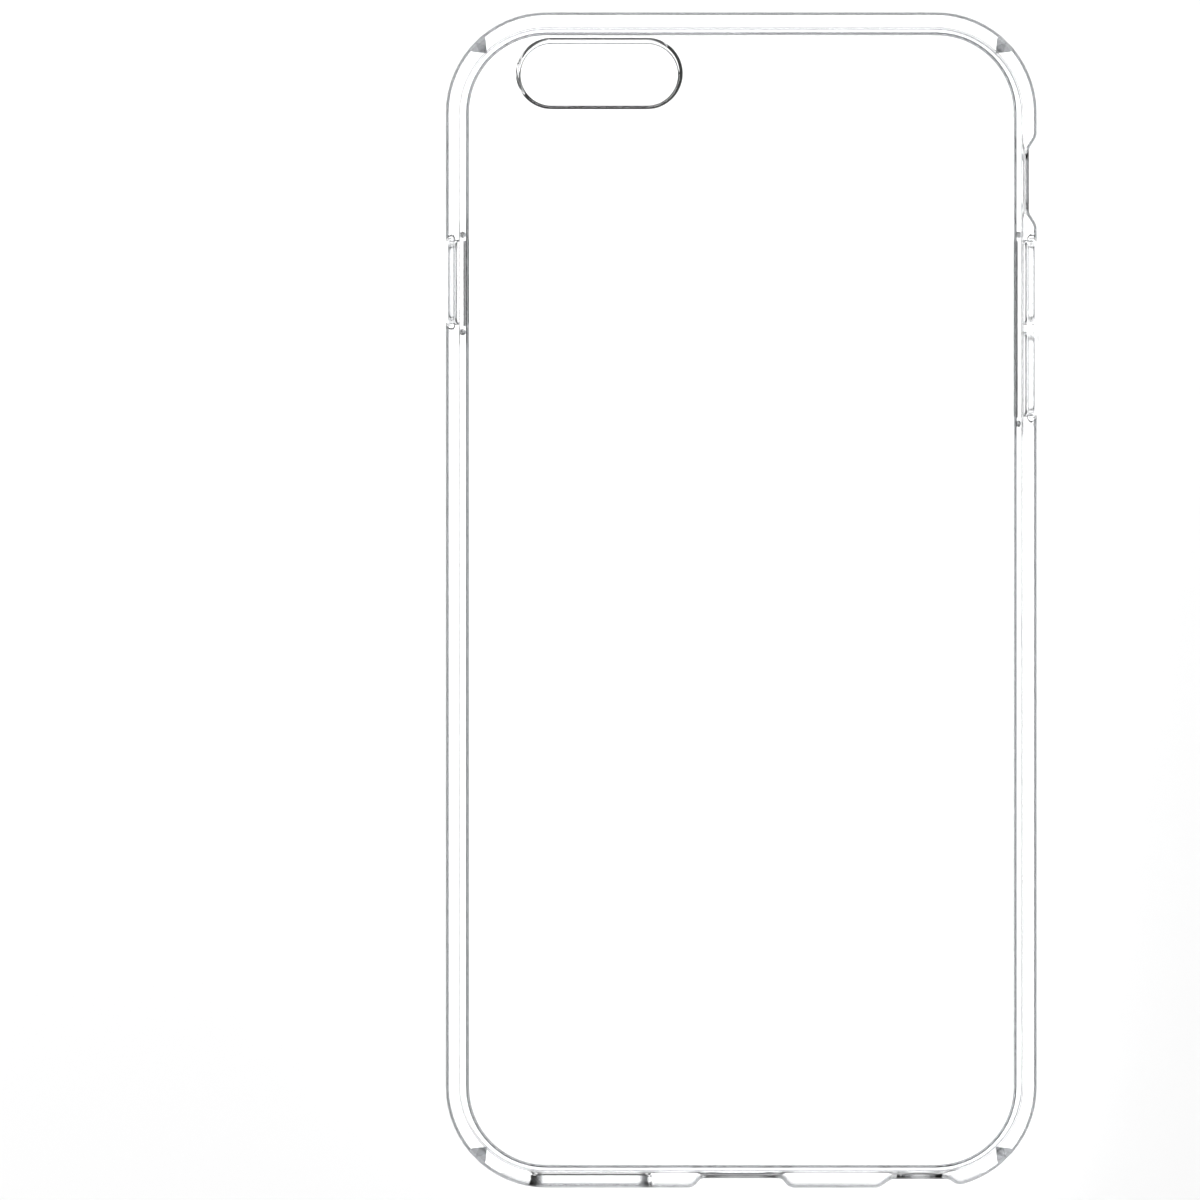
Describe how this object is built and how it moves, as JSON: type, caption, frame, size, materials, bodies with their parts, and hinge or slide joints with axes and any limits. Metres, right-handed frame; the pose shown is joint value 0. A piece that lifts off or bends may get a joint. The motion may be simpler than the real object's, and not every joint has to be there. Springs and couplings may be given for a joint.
{
  "type": "phone case",
  "caption": "Clear phone case with a hard back panel, a soft bumper frame with a front lip, a camera opening, side button pads that press in, and openings for switch, plugs and speaker.",
  "frame": {"origin": "under the middle of the case, on the plane that the front lip rests on", "axes": "+Z out of the back of the case, +Y to the end with the camera opening, +X to the side with the volume buttons"},
  "size_m": [0.083, 0.1624, 0.0098],
  "materials": {
    "clear_hard_plastic": "polished clear polycarbonate",
    "clear_soft_plastic": "glossy clear thermoplastic polyurethane"
  },
  "bodies": {
    "case": {"bumper_frame": "clear_soft_plastic", "back_panel": "clear_hard_plastic", "power_button_web": "clear_soft_plastic", "volume_up_web": "clear_soft_plastic", "volume_down_web": "clear_soft_plastic"},
    "power_button": {"power_button_pad": "clear_soft_plastic"},
    "volume_up": {"volume_up_pad": "clear_soft_plastic"},
    "volume_down": {"volume_down_pad": "clear_soft_plastic"}
  },
  "joints": [
    {"name": "power_button_press", "type": "slide", "parent": "case", "child": "power_button", "axis": [1, 0, 0], "range_m": [0, 0.0004], "stiffness_N_per_m": 3000},
    {"name": "volume_up_press", "type": "slide", "parent": "case", "child": "volume_up", "axis": [-1, 0, 0], "range_m": [0, 0.0004], "stiffness_N_per_m": 3000},
    {"name": "volume_down_press", "type": "slide", "parent": "case", "child": "volume_down", "axis": [-1, 0, 0], "range_m": [0, 0.0004], "stiffness_N_per_m": 3000}
  ]
}
